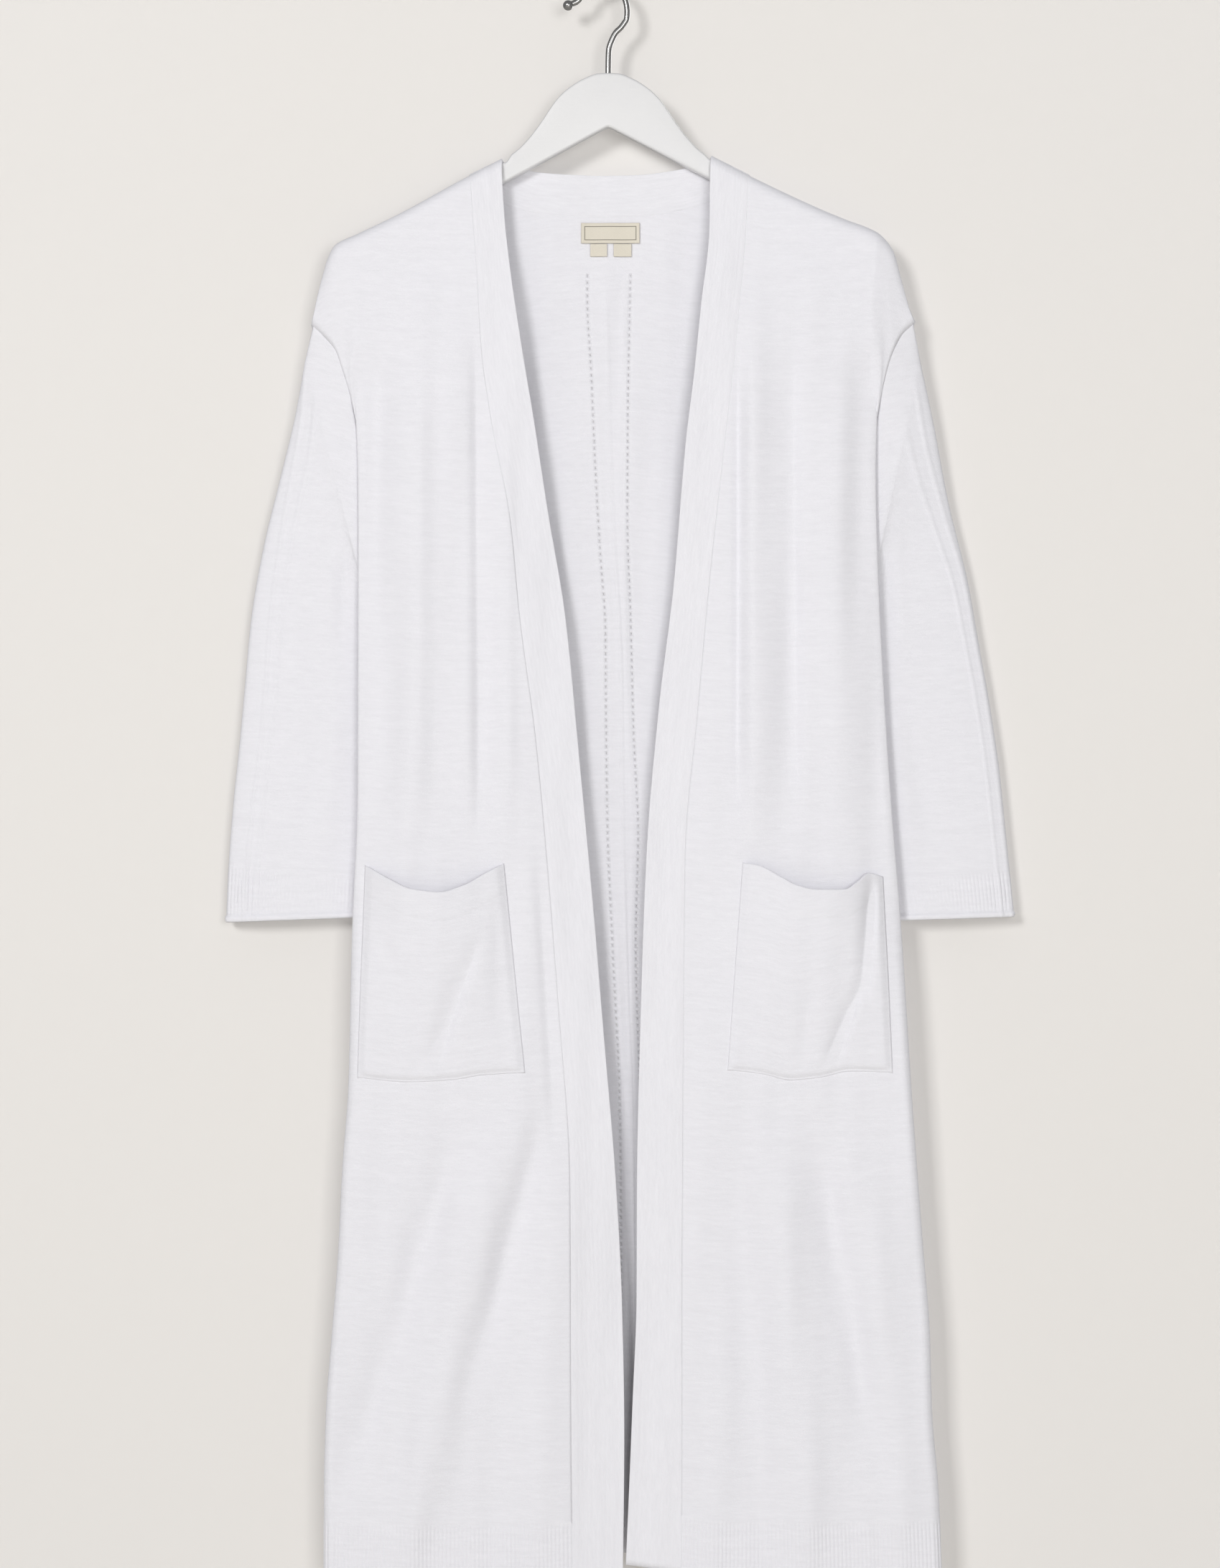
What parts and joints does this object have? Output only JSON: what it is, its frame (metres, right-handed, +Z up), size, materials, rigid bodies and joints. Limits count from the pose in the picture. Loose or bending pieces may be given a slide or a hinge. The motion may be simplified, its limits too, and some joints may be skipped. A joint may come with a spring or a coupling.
{
  "type": "duster cardigan on a hanger",
  "caption": "Long open-front knitted duster cardigan with patch pockets and a full-length front band, hanging flat from a wooden coat hanger.",
  "frame": {"origin": "the seat of the hanger's hook: the inside of the top of its crook, where a rail or peg holds it", "axes": "+Z up, the open front faces -Y, +X is the wearer's left"},
  "size_m": [0.63, 0.0573, 1.2704],
  "materials": {
    "knit": "fine slub jersey knit, cool white, matt",
    "band_knit": "fine ribbed double knit, cool white, matt",
    "label_tape": "woven satin tape, cream",
    "painted_wood": "white satin paint",
    "hook_wire": "polished plated wire"
  },
  "bodies": {
    "root": {"back": "knit", "front_right": "knit", "front_left": "knit", "sleeve_right": "knit", "sleeve_left": "knit", "pocket_right": "knit", "pocket_left": "knit", "front_band": "band_knit", "label": "label_tape", "label_tab_right": "label_tape", "label_tab_left": "label_tape", "hanger_body": "painted_wood", "hanger_hook": "hook_wire"}
  },
  "joints": []
}
